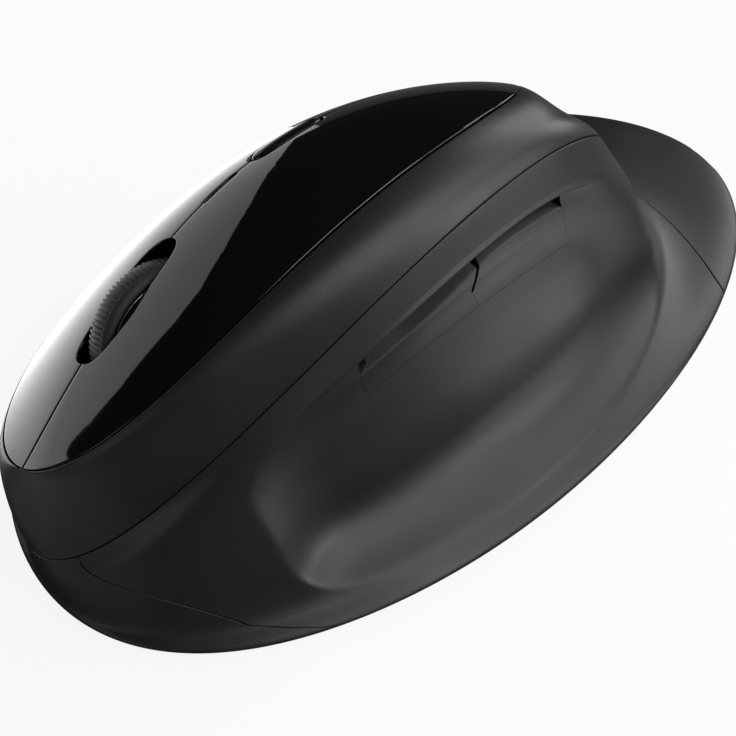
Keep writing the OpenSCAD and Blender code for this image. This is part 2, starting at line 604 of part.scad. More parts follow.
main_x = [-13.5, -1.8];
main_y = [-31, 17.5];
main_z = base_top + post_h;
post_in = 2.2;
posts = [for (x = [main_x[0] + post_in, main_x[1] - post_in])
    for (y = [main_y[0] + post_in, main_y[1] - post_in]) [x, y]];
sensor_at = [-7.65, 4];
power_at = [-7.65, -16];
power_travel = 2.5;
module main_board() {
    color("#1d5b34") placed() translate([main_x[0], main_y[0], main_z]) difference() {
        cube([main_x[1] - main_x[0], main_y[1] - main_y[0], board_t]);
        for (p = posts) translate([p.x - main_x[0], p.y - main_y[0], -1])
            cylinder(h = 5, d = screw_d + 0.1);
    }
}
module optical_sensor() {
    color("#151517") placed() translate([sensor_at.x - 4, sensor_at.y - 5, main_z - 2.22])
        cube([8, 10, 2.2]);
}
module sensor_lens() {
    color("#c9d4da") placed() translate([sensor_at.x, sensor_at.y, base_top + 0.02]) {
        translate([-4, -6, 0]) cube([8, 12, 1]);
        cylinder(h = 1.6, d = 4);
        translate([0, 0, -1.2]) cylinder(h = 1.3, d = 5);
    }
}
module power_switch() {
    color("#55585c") placed() translate([power_at.x, power_at.y, main_z - 2.62]) difference() {
        translate([-2.2, -4.5, 0]) cube([4.4, 9, 2.6]);
        translate([-1, -3.4, -1]) cube([2, 6.8, 3]);
    }
}
module power_slider() {
    color("#b8babd") placed() translate([power_at.x, power_at.y - power_travel / 2, ground_gap + 0.1]) {
        translate([-1.2, -1.5, 0]) cube([2.4, 3, base_wall + 0.4]);
        translate([-0.6, -1, base_wall]) cube([1.2, 2, post_h - 1.6]);
    }
}

// Cell, contacts and door

cell_at = [11.5, 35.5];
cell_z = base_top + 0.3 + cell_d / 2;
bay_x = cell_d / 2 + 0.6;
bay_y = [cell_at.y - cell_l - 2.4, cell_at.y + 1];
module battery() {
    color("#3c4a52") placed() translate([cell_at.x, cell_at.y, cell_z]) rotate([90, 0, 0]) {
        translate([0, 0, 1.3]) cylinder(h = cell_l - 1.3, d = cell_d);
        cylinder(h = 1.4, d = 5.5);
    }
}
module battery_contacts() {
    color("#c7cacd") placed() translate([cell_at.x, 0, cell_z]) {
        translate([-4, bay_y[1] - 0.42, -5]) cube([8, 0.4, 10]);
        translate([0, cell_at.y + 0.1, 0]) rotate([-90, 0, 0])
            cylinder(h = bay_y[1] - cell_at.y - 0.3, d = 4);
        translate([0, bay_y[0] + 0.02, 0]) {
            translate([-4, 0, -5]) cube([8, 0.4, 10]);
            rotate([-90, 0, 0]) difference() {
                cylinder(h = 2.2, d1 = 7, d2 = 5);
                translate([0, 0, 0.4]) cylinder(h = 2, d1 = 5.6, d2 = 3.6);
            }
        }
    }
}
door_gap = 0.3;
door_l = bay_y[1] - bay_y[0] - 2 * door_gap;
barrel = base_wall / 2 - 0.05;
module battery_door() {
    w = 2 * (bay_x - door_gap);
    hinge = [cell_at.x, bay_y[0] + door_gap + barrel, ground_gap + base_wall / 2];
    color("#1c1d1f") placed() translate(hinge) {
        rotate([0, 90, 0]) cylinder(h = w, r = barrel, center = true);
        translate([-w / 2, 0, -barrel]) cube([w, door_l - barrel, 2 * barrel]);
        translate([-3, door_l - barrel - 1.4, barrel - 0.1]) cube([6, 1.1, 1.1]);
    }
}

// Base

feet = [[-8, 52, 90, 22, 6], [-6, -38, 90, 20, 6.5], [-29.5, 4, 0, 20, 6], [27.2, 10, 0, 18, 5.4]];
module glide_feet() {
    color("#c9ccce") placed() for (f = feet) translate([f[0], f[1], 0]) rotate(f[2])
        linear_extrude(ground_gap) stadium(f[3], f[4]);
}
finger_d = 9;
finger_deep = 0.9;
module base_plate() {
    edge = [for (a = [0:5:355]) foot_inner(a, 0, seam_gap)];
    color("#1c1d1f") placed() difference() {
        union() {
            translate([0, 0, ground_gap]) linear_extrude(base_wall) polygon([for (p = edge) [p.x, p.y]]);
            for (p = posts) translate([p.x, p.y, base_top - 0.1]) cylinder(h = post_h + 0.1, d = 4);
            for (x = [-bay_x - 1.2, bay_x]) translate([cell_at.x + x, bay_y[0] - 1.2, base_top - 0.1])
                cube([1.2, bay_y[1] - bay_y[0] + 2.4, 8]);
            for (y = [bay_y[0] - 1.2, bay_y[1]]) translate([cell_at.x - bay_x, y, base_top - 0.1])
                cube([2 * bay_x, 1.2, 8]);
            for (y = [bay_y[0] - 1.2, bay_y[1]]) translate([cell_at.x - 5.5, y, base_top - 0.1])
                cube([11, 1.2, 13]);
        }
        translate([cell_at.x - bay_x, bay_y[0], 0]) cube([2 * bay_x, bay_y[1] - bay_y[0], base_top + 1]);
        translate([cell_at.x, bay_y[1], 0]) cylinder(h = ground_gap + finger_deep, d = finger_d);
        translate([sensor_at.x, sensor_at.y, 0]) cylinder(h = 10, d = 5.4);
        translate([power_at.x - 1.6, power_at.y - 3.4, 0]) cube([3.2, 6.8, 10]);
        for (p = concat(legs, [dpi_leg])) translate([p.x, p.y, 0]) {
            cylinder(h = 10, d = screw_d + 0.2);
            cylinder(h = ground_gap + 1.3, d = screw_head_d + 0.3);
        }
        for (p = posts) translate([p.x, p.y, base_top + 0.5]) cylinder(h = 10, d = screw_d);
    }
}
module screw(l) {
    cylinder(h = 1.1, d = screw_head_d);
    translate([0, 0, 1]) cylinder(h = l + 0.1, d = screw_d - 0.04);
}
module case_screws() {
    color("#8d9094") placed() for (p = concat(legs, [dpi_leg])) translate([p.x, p.y, ground_gap + 0.15])
        screw(6);
}
module board_screws() {
    color("#8d9094") placed() for (p = posts) translate([p.x, p.y, main_z + board_t + 1.12])
        rotate([180, 0, 0]) screw(4);
}

base_plate();
lower_shell();
thumb_panel();
top_frame();
left_button();
right_button();
forward_button();
back_button();
dpi_button();
indicator_lens();
wheel_tyre();
wheel_hub();
wheel_trim();
wheel_axle();
wheel_carrier();
wheel_encoder();
board_frame();
button_board();
left_switch();
right_switch();
middle_switch();
dpi_bracket();
dpi_board();
dpi_switch();
side_bracket();
side_board();
forward_switch();
back_switch();
main_board();
optical_sensor();
sensor_lens();
power_switch();
power_slider();
battery();
battery_contacts();
battery_door();
glide_feet();
case_screws();
board_screws();
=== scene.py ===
"""Vertical ergonomic mouse: smooth moulded skins over the CAD frame, materials, studio and camera."""
import math

import bmesh
import bpy
import numpy as np
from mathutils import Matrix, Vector


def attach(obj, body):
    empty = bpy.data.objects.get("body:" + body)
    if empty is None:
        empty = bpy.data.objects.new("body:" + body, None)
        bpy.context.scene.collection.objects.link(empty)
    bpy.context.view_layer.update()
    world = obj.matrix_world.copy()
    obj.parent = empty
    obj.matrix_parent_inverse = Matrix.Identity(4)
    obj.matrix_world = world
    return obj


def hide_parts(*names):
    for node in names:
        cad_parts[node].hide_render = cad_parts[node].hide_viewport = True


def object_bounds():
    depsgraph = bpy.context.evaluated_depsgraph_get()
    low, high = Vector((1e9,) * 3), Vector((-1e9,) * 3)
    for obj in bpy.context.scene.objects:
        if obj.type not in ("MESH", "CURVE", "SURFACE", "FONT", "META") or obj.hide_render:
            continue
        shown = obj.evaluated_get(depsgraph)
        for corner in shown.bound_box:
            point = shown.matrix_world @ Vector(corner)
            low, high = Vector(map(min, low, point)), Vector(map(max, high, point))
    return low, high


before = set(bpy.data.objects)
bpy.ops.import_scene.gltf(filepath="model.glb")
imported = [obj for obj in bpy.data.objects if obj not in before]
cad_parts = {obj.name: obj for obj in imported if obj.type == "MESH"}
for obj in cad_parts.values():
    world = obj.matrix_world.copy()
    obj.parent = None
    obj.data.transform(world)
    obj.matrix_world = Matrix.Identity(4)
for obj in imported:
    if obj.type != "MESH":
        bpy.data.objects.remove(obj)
size_before = [list(c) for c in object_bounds()]
MM = 0.001

# Surface of the body, in mm: seven closed lines from the foot to the rim of the top panel.
# Each line has its front, thumb-side, rear and palm-side point, and a push at the corners between them.
FOOT, EDGE, LIP, WAIST, BROW, PART, RIM = range(7)
LINES = np.array([
    [(-13.5, 61, 0.8), (-38.8, -3.5, 0.8), (0.4, -61.9, 0.8), (36.5, 10, 0.8)],
    [(-14.5, 62.8, 2.6), (-40.3, -3.5, 2.6), (0.4, -64.1, 2.9), (38, 10, 2.6)],
    [(-12.5, 62.7, 3.8), (-37.7, -2.5, 5.9), (0, -49.1, 7), (34.5, 8, 5)],
    [(-10, 62.4, 5.6), (-32.5, 0, 24), (-7, -39.1, 15.5), (32, 9, 10.3)],
    [(-8, 62.2, 7.5), (-25.2, 3, 46.4), (-8.5, -35.3, 27.3), (30, 12.5, 15.8)],
    [(-7.5, 62.1, 9.5), (-22, -0.7, 50.2), (-6.7, -30.3, 32), (28.7, 17, 17.4)],
    [(-2.5, 61.5, 25.5), (-15, 16.5, 54.5), (-4.5, -21, 48.5), (19, 25.5, 27.5)],
])
PUSHES = np.array([
    (-1.5, -1.1, -0.8, 0), (-1.5, -1.1, -0.8, 0), (-1, -2, -1.5, 0), (1, 0, 0, 0),
    (4, -2, 0, -1), (1.5, -1.5, 0, -1.5), (5.5, 0, 0, 0),
])
CORNERS = (45, 135, 225, 315)
PUSH_SHARP = 4
SWELL_WAY = np.array([-0.51, 0.4, 0.76])
SWELLS = {BROW: (42, -1.6), PART: (62, 3.3)}
CROWN, CROWN_LEAN = np.array([2.5, -1.2, 8.8]), 0.08
# Thumb scoop: its place and size in degrees round the side and in lines up it
SCOOP_DEPTH, SCOOP_MID, SCOOP_HALF, SCOOP_LEVEL, SCOOP_FLAT = 4.2, 100.0, 52.0, 28.0, 0.42
SCOOP_V, SCOOP_TALL, SCOOP_ROUND, SCOOP_SQUARE = 3.03, 1.03, 0.1, 4
SCOOP_UNDER, SCOOP_UNDER_V = 0.4, 3.3
SCOOP_WAY = np.array([1, 0.1, 0])
CRISP_V, CRISP_A = (3.4, 2.6), (71, 58)
# Walls, and the seams between the thumb panel and the lower shell
WALL, KEY_WALL, GROUND, BASE_TOP, BASE_CLEAR = 1.8, 1.8, 0.8, 2.6, 0.3
FOOT_RIM, FOOT_RIM_REAR, FOOT_RIM_SHARP = 3, 9, 4
FRONT_SEAM_A, FRONT_SEAM_LEAN, FRONT_SEAM_TALL, FRONT_SEAM_CURVE = 10, 30, 3.1, 1.5
REAR_SEAM_A, REAR_SEAM_LEAN, REAR_SEAM_CURVE = 136, 40, 2.5
# Steps of the surface parameters over which slopes are measured
ACROSS_STEP, ALONG_STEP, TURN_STEP, CLIMB_STEP, FOOT_STEP = 0.02, 0.004, 0.5, 0.03, 1
SCALE_TURN, SCALE_CLIMB, SCALE_ENDS = 0.2, 0.02, 0.05
# Share of the panel's half width that the side's slope at the rim looks toward
RIM_AIM = 0.6


def unit(p):
    return p / np.maximum(np.linalg.norm(p, axis=-1, keepdims=True), 1e-9)


def mix(a, b, f):
    return a * (1 - f) + b * f


def smooth(x, a, b):
    """0 at a, 1 at b, with level ends."""
    q = np.clip((x - a) / (b - a), 0, 1)
    return q * q * (3 - 2 * q)


def ring(k, a):
    """Closed line k of the body at angle a."""
    front, left, rear, right = LINES[k]
    turn = np.radians(np.asarray(a, float))
    c, s, c2 = (np.asarray(q)[..., None] for q in (np.cos(turn), np.sin(turn), np.cos(2 * turn)))
    p = ((front + left + rear + right) / 4 + (front - rear) / 2 * c + (left - right) / 2 * s
         + (front - left + rear - right) / 4 * c2)
    for push, at in zip(PUSHES[k], np.radians(CORNERS)):
        reach = np.maximum(0, np.cos(turn - at)) ** PUSH_SHARP
        p = p + push * reach[..., None] * np.array([-np.sin(at), np.cos(at), 0])
    if k in SWELLS:
        at, swell = SWELLS[k]
        reach = np.maximum(0, np.cos(turn - np.radians(at))) ** PUSH_SHARP
        p = p + swell * reach[..., None] * SWELL_WAY
    return p


def panel(t, s):
    """Glossy top panel: t from the front tip to the rear tip, s from the thumb edge to the palm edge."""
    t, s = np.broadcast_arrays(np.asarray(t, float), np.asarray(s, float))
    left, right = ring(RIM, 180 * t), ring(RIM, 360 - 180 * t)
    rise = np.sin(np.pi * t) ** 2 - CROWN_LEAN * np.sin(2 * np.pi * t)
    middle = (left + right) / 2 + rise[..., None] * CROWN
    s = s[..., None]
    return left * s * (s - 1) / 2 + middle * (1 - s * s) + right * s * (s + 1) / 2


def panel_across(t, s):
    return (panel(t, s + ACROSS_STEP) - panel(t, s - ACROSS_STEP)) / (2 * ACROSS_STEP)


def panel_along(t, s):
    return (panel(t + ALONG_STEP, s) - panel(t - ALONG_STEP, s)) / (2 * ALONG_STEP)


def panel_normal(t, s):
    return unit(np.cross(panel_along(t, s), panel_across(t, s)))


def share(t, s, w):
    """Share of s that a width of w mm square to the seam takes up."""
    along, across = panel_along(t, s), panel_across(t, s)
    return w * np.linalg.norm(along, axis=-1) / np.linalg.norm(np.cross(along, across), axis=-1)


outline = ring(EDGE, np.arange(0, 360, 2.0))
CENTRE = (outline.max(0) + outline.min(0)) / 2 * np.array([1, 1, 0])


def scoop(a, v):
    """Depth of the thumb scoop."""
    level = np.where(a < SCOOP_MID, SCOOP_LEVEL, 0)
    past = np.maximum(0, np.abs(a - SCOOP_MID) - level) / (SCOOP_HALF - level)
    tall = np.abs(v - SCOOP_V) / SCOOP_TALL
    reach = (tall ** SCOOP_SQUARE + past ** SCOOP_SQUARE) ** (1 / SCOOP_SQUARE)
    u = np.clip((1 - reach) / (1 - SCOOP_FLAT), 0, 1)
    c = (np.hypot(u, SCOOP_ROUND) - SCOOP_ROUND) / (np.hypot(1, SCOOP_ROUND) - SCOOP_ROUND)
    crisp = np.maximum(smooth(v, *CRISP_V), smooth(a, *CRISP_A))
    depth = SCOOP_DEPTH * (1 + SCOOP_UNDER * np.maximum(0, SCOOP_UNDER_V - v))
    return depth * mix(smooth(u, 0, 1), c * (2 - c), crisp)


def side(a, v):
    """Side of the body: a is the angle from the front over the thumb side, v climbs through the lines."""
    a, v = np.broadcast_arrays(np.asarray(a, float), np.asarray(v, float))
    a = np.mod(a, 360)
    beyond = np.where((a <= 180)[..., None], panel(a / 180, -RIM_AIM), panel((360 - a) / 180, RIM_AIM))
    knots = np.stack([ring(k, a) for k in range(len(LINES))] + [beyond])
    k = np.minimum(np.floor(v), RIM - 1).astype(int)
    f = (v - k)[..., None]

    def knot(i):
        picks = np.broadcast_to(i[None, ..., None], (1,) + a.shape + (3,))
        return np.take_along_axis(knots, picks, 0)[0]

    def length(q):
        return np.maximum(np.linalg.norm(q, axis=-1, keepdims=True), 1e-6)

    p0, p1, p2, pm = knot(k), knot(k + 1), knot(k + 2), knot(np.maximum(k - 1, 0))
    h, hm, hp = length(p1 - p0), length(p0 - pm), length(p2 - p1)
    d = (p1 - p0) / h
    m0 = np.where((k == 0)[..., None], d, ((p0 - pm) / hm * h + d * hm) / (hm + h))
    m1 = (d * hp + (p2 - p1) / hp * h) / (h + hp)
    return (p0 * (2 * f**3 - 3 * f**2 + 1) + m0 * h * (f**3 - 2 * f**2 + f)
            + p1 * (3 * f**2 - 2 * f**3) + m1 * h * (f**3 - f**2) + scoop(a, v)[..., None] * SCOOP_WAY)


def side_normal(a, v):
    a, v = np.broadcast_arrays(np.asarray(a, float), np.asarray(v, float))
    turn = side(a + TURN_STEP, v) - side(a - TURN_STEP, v)
    climb = side(a, np.minimum(v + CLIMB_STEP, RIM)) - side(a, np.maximum(v - CLIMB_STEP, 0))
    return unit(np.cross(turn, climb))


def side_scale(a, v):
    """Length in mm of one degree round the side and of one line up it."""
    v_in = np.clip(v, SCALE_ENDS, RIM - SCALE_ENDS)
    turn = side(a + SCALE_TURN, v) - side(a - SCALE_TURN, v)
    climb = side(a, v_in + SCALE_CLIMB) - side(a, v_in - SCALE_CLIMB)
    return (np.linalg.norm(turn, axis=-1) / (2 * SCALE_TURN),
            np.linalg.norm(climb, axis=-1) / (2 * SCALE_CLIMB))


def foot_inner(a, z):
    """Inner edge of the foot, wider at the rear."""
    run = ring(FOOT, a + FOOT_STEP) - ring(FOOT, a - FOOT_STEP)
    inward = unit(np.cross(np.array([0, 0, 1.0]), run))
    width = FOOT_RIM + FOOT_RIM_REAR * np.maximum(0, -np.cos(np.radians(a))) ** FOOT_RIM_SHARP
    p = ring(FOOT, a) + width[..., None] * inward
    p[..., 2] = z
    return p


def shell_inner(a, v):
    """Inside of the shells: an even wall from the lip up, drawn in to the base plate below it."""
    a, v = np.broadcast_arrays(np.asarray(a, float), np.asarray(v, float))
    upper = np.maximum(v, LIP)
    behind = side(a, upper) - WALL * side_normal(a, upper)
    foot = foot_inner(a, mix(GROUND, BASE_TOP + BASE_CLEAR, np.clip(v, 0, 1)))
    return mix(foot, behind, np.clip(v - EDGE, 0, 1)[..., None])


def front_seam(v):
    return FRONT_SEAM_A + FRONT_SEAM_LEAN * np.maximum(0, (PART - v) / FRONT_SEAM_TALL) ** FRONT_SEAM_CURVE


def rear_seam(v):
    return REAR_SEAM_A + REAR_SEAM_LEAN * np.clip(v - EDGE, 0, 1) ** REAR_SEAM_CURVE


# Mesh helpers
SHARP = math.radians(38)
WELD, SLIVER = 1e-6, 1e-7


def link(data, name):
    obj = bpy.data.objects.new(name, data)
    bpy.context.scene.collection.objects.link(obj)
    return obj


def grid_object(name, grids, body, node, material, loop=False):
    """One smooth object from welded grids of points in mm; loop joins each last row to the first."""
    bm = bmesh.new()
    for points in grids:
        n, m = points.shape[:2]
        inside = np.clip((points - CENTRE) * MM, *size_before)
        rows = [[bm.verts.new(p) for p in line] for line in inside]
        for i in range(n if loop else n - 1):
            one, two = rows[i], rows[(i + 1) % n]
            for j in range(m - 1):
                bm.faces.new((one[j], one[j + 1], two[j + 1], two[j]))
    bmesh.ops.remove_doubles(bm, verts=bm.verts, dist=WELD)
    bmesh.ops.dissolve_degenerate(bm, edges=bm.edges, dist=SLIVER)
    bmesh.ops.recalc_face_normals(bm, faces=bm.faces)
    for f in bm.faces:
        f.smooth = True
    mesh = bpy.data.meshes.new(name)
    bm.to_mesh(mesh)
    bm.free()
    mesh.set_sharp_from_angle(angle=SHARP)
    obj = link(mesh, name)
    mesh.materials.append(material)
    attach(obj, body)
    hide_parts(node)


def steps(*runs):
    """Sorted values of several even runs, each given as its start, end and count."""
    return np.unique(np.concatenate([np.linspace(*run) for run in runs]))


def eased(a, b, n):
    """Values from a to b that crowd at both ends."""
    return a + (b - a) * (0.5 - 0.5 * np.cos(np.linspace(0, np.pi, n)))


def rim(one, two):
    """Strip between two edges."""
    return np.stack([one, two], 1)


def close(face, back):
    """Grids of a closed wall: face, back and the four rims between them."""
    return [face, back, rim(face[:, 0], back[:, 0]), rim(back[:, -1], face[:, -1]),
            rim(back[0], face[0]), rim(face[-1], back[-1])]


def soften(depths, r):
    """Depth of a rounded edge or corner from the distances to the edges near it."""
    short = [np.maximum(0, r - d) for d in depths]
    return r - np.sqrt(np.maximum(0, r * r - sum(q * q for q in short)))


# Materials
DRIFT_SCALE, DRIFT_DETAIL, GRAIN_ROUGH, GRAIN_DEPTH = 60, 3, 0.6, 0.00004


def new_material(name):
    mat = bpy.data.materials.new(name)
    mat.use_nodes = True
    tree = mat.node_tree
    bsdf = next(n for n in tree.nodes if n.type == "BSDF_PRINCIPLED")
    return mat, tree, bsdf


def noise(tree, coords, scale, detail=2.0, rough=0.5):
    node = tree.nodes.new("ShaderNodeTexNoise")
    node.inputs["Scale"].default_value = scale
    node.inputs["Detail"].default_value = detail
    node.inputs["Roughness"].default_value = rough
    tree.links.new(coords, node.inputs["Vector"])
    return node.outputs["Fac"]


def remap(tree, value, low, high, start=0.3, end=0.7):
    node = tree.nodes.new("ShaderNodeMapRange")
    node.inputs["From Min"].default_value = start
    node.inputs["From Max"].default_value = end
    node.inputs["To Min"].default_value = low
    node.inputs["To Max"].default_value = high
    tree.links.new(value, node.inputs["Value"])
    return node.outputs["Result"]


def tint(tree, factor, one, two):
    node = tree.nodes.new("ShaderNodeMix")
    node.data_type = "RGBA"
    node.inputs[6].default_value = (*one, 1)
    node.inputs[7].default_value = (*two, 1)
    tree.links.new(factor, node.inputs[0])
    return node.outputs[2]


def object_coords(tree):
    return tree.nodes.new("ShaderNodeTexCoord").outputs["Object"]


def rough_drift(tree, bsdf, rough, spread):
    """Lets the roughness drift slowly about its level, and gives the drift back."""
    drift = noise(tree, object_coords(tree), DRIFT_SCALE, DRIFT_DETAIL)
    tree.links.new(remap(tree, drift, rough - spread, rough + spread), bsdf.inputs["Roughness"])
    return drift


def plastic(name, dark, light, rough, grain, grain_scale=4200, spread=0.06, metal=0.0):
    """Moulded plastic or metal: colour drift, roughness drift and a fine grain in the bump."""
    mat, tree, bsdf = new_material(name)
    drift = rough_drift(tree, bsdf, rough, spread)
    tree.links.new(tint(tree, drift, dark, light), bsdf.inputs["Base Color"])
    bsdf.inputs["Metallic"].default_value = metal
    bump = tree.nodes.new("ShaderNodeBump")
    bump.inputs["Strength"].default_value = grain
    bump.inputs["Distance"].default_value = GRAIN_DEPTH
    tree.links.new(noise(tree, object_coords(tree), grain_scale, rough=GRAIN_ROUGH), bump.inputs["Height"])
    tree.links.new(bump.outputs["Normal"], bsdf.inputs["Normal"])
    return mat


def grey(v):
    return (v, v, v)


shell_mat = plastic("shell_matte", grey(0.010), grey(0.013), 0.40, grain=0.55)
thumb_mat = plastic("thumb_matte", grey(0.011), grey(0.014), 0.42, grain=0.65)
frame_mat = plastic("frame_matte", grey(0.010), grey(0.013), 0.38, grain=0.55)
gloss_mat = plastic("panel_gloss", grey(0.003), grey(0.004), 0.035,
                    grain=0.015, grain_scale=700, spread=0.01)
dpi_mat = plastic("resolution_key_gloss", grey(0.006), grey(0.008), 0.22,
                  grain=0.08, grain_scale=1500, spread=0.03)
lens_mat = plastic("smoked_lens", grey(0.012), grey(0.02), 0.2, grain=0.05, spread=0.03)
rubber_mat = plastic("wheel_rubber_grip", grey(0.016), grey(0.026), 0.62, grain=0.8, grain_scale=3200)
hub_mat = plastic("wheel_hub_plastic", grey(0.012), grey(0.016), 0.4, grain=0.3)
metal_mat = plastic("bright_trim", grey(0.55), grey(0.62), 0.22, grain=0.1, grain_scale=1600, metal=1.0)
steel_mat = plastic("screw_steel_worn", grey(0.36), grey(0.5), 0.34,
                    grain=0.25, grain_scale=1800, metal=1.0)
board_mat = plastic("board_mask", (0.006, 0.05, 0.02), (0.012, 0.09, 0.035), 0.36,
                    grain=0.3, grain_scale=900)
switch_mat = plastic("switch_body", grey(0.012), grey(0.02), 0.42, grain=0.3)
inner_mat = plastic("inner_frame", grey(0.02), grey(0.03), 0.5, grain=0.4)
slider_mat = plastic("slider_pale", grey(0.3), grey(0.36), 0.45, grain=0.4)
cell_mat = plastic("cell_jacket_film", (0.02, 0.045, 0.06), (0.03, 0.06, 0.08), 0.3, grain=0.15)
glide_mat = plastic("glide_slick", grey(0.42), grey(0.5), 0.38, grain=0.3, grain_scale=2200)

# Lower shell
SHELL_TOP, SHELL_BEND = 4.975, 2.4
EDGE_R, SEAM_TURN = 0.16, 0.11
# Narrow bands in which the mesh is fine enough for the rounded edges
EDGE_BAND, SHELL_ENDS, THUMB_ENDS, RIM_BAND = 0.05, 0.0016, 0.006, 0.02


def wall_patch(angles, rows, ends, skin=side):
    """Face of a shell patch with rounded edges; ends says which of low, high, first, last are rounded."""
    face = skin(angles, rows)
    turn, climb = side_scale(angles, rows)
    gaps = {"first": (angles - angles[:1]) * turn, "last": (angles[-1:] - angles) * turn,
            "low": (rows - rows[:, :1]) * climb, "high": (rows[:, -1:] - rows) * climb}
    depth = soften([gaps[end] for end in ends], EDGE_R) + 0 * rows
    return face - depth[..., None] * side_normal(angles, rows)


def lower_shell():
    rows = steps((0, SHELL_BEND, 60), (SHELL_BEND, SHELL_TOP, 60), (SHELL_TOP - EDGE_BAND, SHELL_TOP, 8))
    shares = steps((0, 1, 300), (0, SHELL_ENDS, 6), (1 - SHELL_ENDS, 1, 6))
    f, v = np.meshgrid(shares, rows, indexing="ij")
    a = mix(rear_seam(v) + SEAM_TURN, 360 + front_seam(v) - SEAM_TURN, f)
    face = wall_patch(a, v, ("high", "first", "last"))
    grid_object("lower_shell_skin", close(face, shell_inner(a, v)), "housing", "lower_shell", shell_mat)


# Thumb panel: the opening for the side keys, the slit over them and the rolled edge of the brow.
# Angles are in degrees round the side, V values in lines up it.
KEY_A, KEY_V = (72.6, 94.4, 118.4), (3.45, 3.94)
SLIT_MM = 20.5
SLIT_TOP_V, SLIT_TOP_RISE, SLIT_TOP_A = 3.845, 0.06, (80, 112)
SLIT_LOW_V, SLIT_LOW_RISE, SLIT_LOW_A = 3.66, 0.14, (80, 106)
SLIT_START_A, SLIT_END_A = (56, 68), (136, 124)
ROLL_R, ROLL_W, ROLL_FADE = 2.6, 2.1, 4.5
ROLL_START_A, ROLL_END_A = (56, 74), (136, 118)
BROW_V, BROW_THIN, BROW_THIN_V, V_SLACK = 4.14, 0.55, 4.4, 0.001


def slit_top(a):
    """Lower edge of the brow over the side keys."""
    return SLIT_TOP_V + SLIT_TOP_RISE * smooth(a, *SLIT_TOP_A)


def slit_low(a):
    """Upper edge of the side keys."""
    return SLIT_LOW_V + SLIT_LOW_RISE * smooth(a, *SLIT_LOW_A)


def brow_roll(a, v):
    """How far the lower edge of the brow rolls in, fading out into the scoop below it."""
    d = (v - slit_top(a)) * SLIT_MM
    bend = np.clip(ROLL_W - d, 0, ROLL_W)
    deepest = ROLL_R - math.sqrt(ROLL_R**2 - ROLL_W**2)
    depth = np.where(d >= 0, ROLL_R - np.sqrt(ROLL_R**2 - bend**2), deepest * smooth(d, -ROLL_FADE, 0))
    return depth * smooth(a, *ROLL_START_A) * smooth(a, *ROLL_END_A)


def rolled_in(a, v):
    return brow_roll(a, v)[..., None] * side_normal(a, v)


def thumb_side(a, v):
    return side(a, v) - rolled_in(a, v)


def to_slit(a, v):
    """Draws the row at the top of the key opening to the brow's edge."""
    low, high = KEY_V
    top = mix(high, slit_top(a), smooth(a, *SLIT_START_A) * smooth(a, *SLIT_END_A))
    under = low + (v - low) * (top - low) / (high - low)
    over = top + (v - high) * (SHELL_TOP - top) / (SHELL_TOP - high)
    return np.where(v < low, v, np.where(v < high, under, over))


def thumb_panel():
    """Nine patches round the opening for the side keys, without the one in the middle."""
    low, mid, top = range(3)
    front, keys, rear = range(3)
    zones = (steps((0, LIP, 40), (LIP, KEY_V[0], 44)), np.linspace(*KEY_V, 30),
             steps((KEY_V[1], BROW_V, 20), (BROW_V, SHELL_TOP, 26), (SHELL_TOP - EDGE_BAND, SHELL_TOP, 8)))
    spans = (steps((0, 1, 70), (0, THUMB_ENDS, 6)), np.linspace(0, 1, 90),
             steps((0, 1, 80), (1 - THUMB_ENDS, 1, 6)))
    grids = []
    for span, shares in enumerate(spans):
        for zone, rows in enumerate(zones):
            if span == keys and zone == mid:
                continue
            f, v = np.meshgrid(shares, rows, indexing="ij")
            borders = (front_seam(v) + SEAM_TURN, KEY_A[0], KEY_A[2], rear_seam(v) - SEAM_TURN)
            a = mix(borders[span], borders[span + 1], f)
            v = to_slit(a, v)
            rounded = {"high": zone == top, "first": span == front, "last": span == rear,
                       "low": zone == top and span == keys}
            face = wall_patch(a, v, [end for end, on in rounded.items() if on], skin=thumb_side)
            brow = (v > slit_top(a) - V_SLACK) & (v < BROW_THIN_V)
            depth = np.where(brow, BROW_THIN, 1.0)[..., None]
            back = mix(side(a, v), shell_inner(a, v), depth) - rolled_in(a, v)
            grids += [face, back]
            if zone == low:
                grids.append(rim(face[:, 0], back[:, 0]))
            if zone == top:
                grids.append(rim(back[:, -1], face[:, -1]))
            if span == front:
                grids.append(rim(back[0], face[0]))
            if span == rear:
                grids.append(rim(face[-1], back[-1]))
            if span == keys:
                edge = -1 if zone == low else 0
                grids.append(rim(face[:, edge], back[:, edge]))
            elif zone == mid:
                edge = -1 if span == front else 0
                grids.append(rim(face[edge], back[edge]))
    grid_object("thumb_panel_skin", grids, "housing", "thumb_panel", thumb_mat)


# Top frame: the band between the shells and the glossy panel
FRAME_TURN = 1.0
FRAME_TIPS, FRAME_BEND_V = (0.033, 0.96), 5.3


def top_frame():
    rows = steps((PART, PART + EDGE_BAND, 8), (PART, RIM, 34), (RIM - RIM_BAND, RIM, 8))
    a, v = np.meshgrid(np.arange(0, 360, FRAME_TURN), rows, indexing="ij")
    face = wall_patch(a, v, ("low", "high"))
    t = np.clip(np.where(a <= 180, a / 180, 2 - a / 180), *FRAME_TIPS)
    under_panel = panel_normal(t, np.where(a <= 180, -1, 1))
    inward = unit(mix(side_normal(a, v), under_panel, smooth(v, FRAME_BEND_V, RIM)[..., None]))
    back = side(a, v) - WALL * inward
    grids = [face, back, rim(face[:, 0], back[:, 0]), rim(back[:, -1], face[:, -1])]
    grid_object("top_frame_skin", grids, "housing", "top_frame", frame_mat, loop=True)


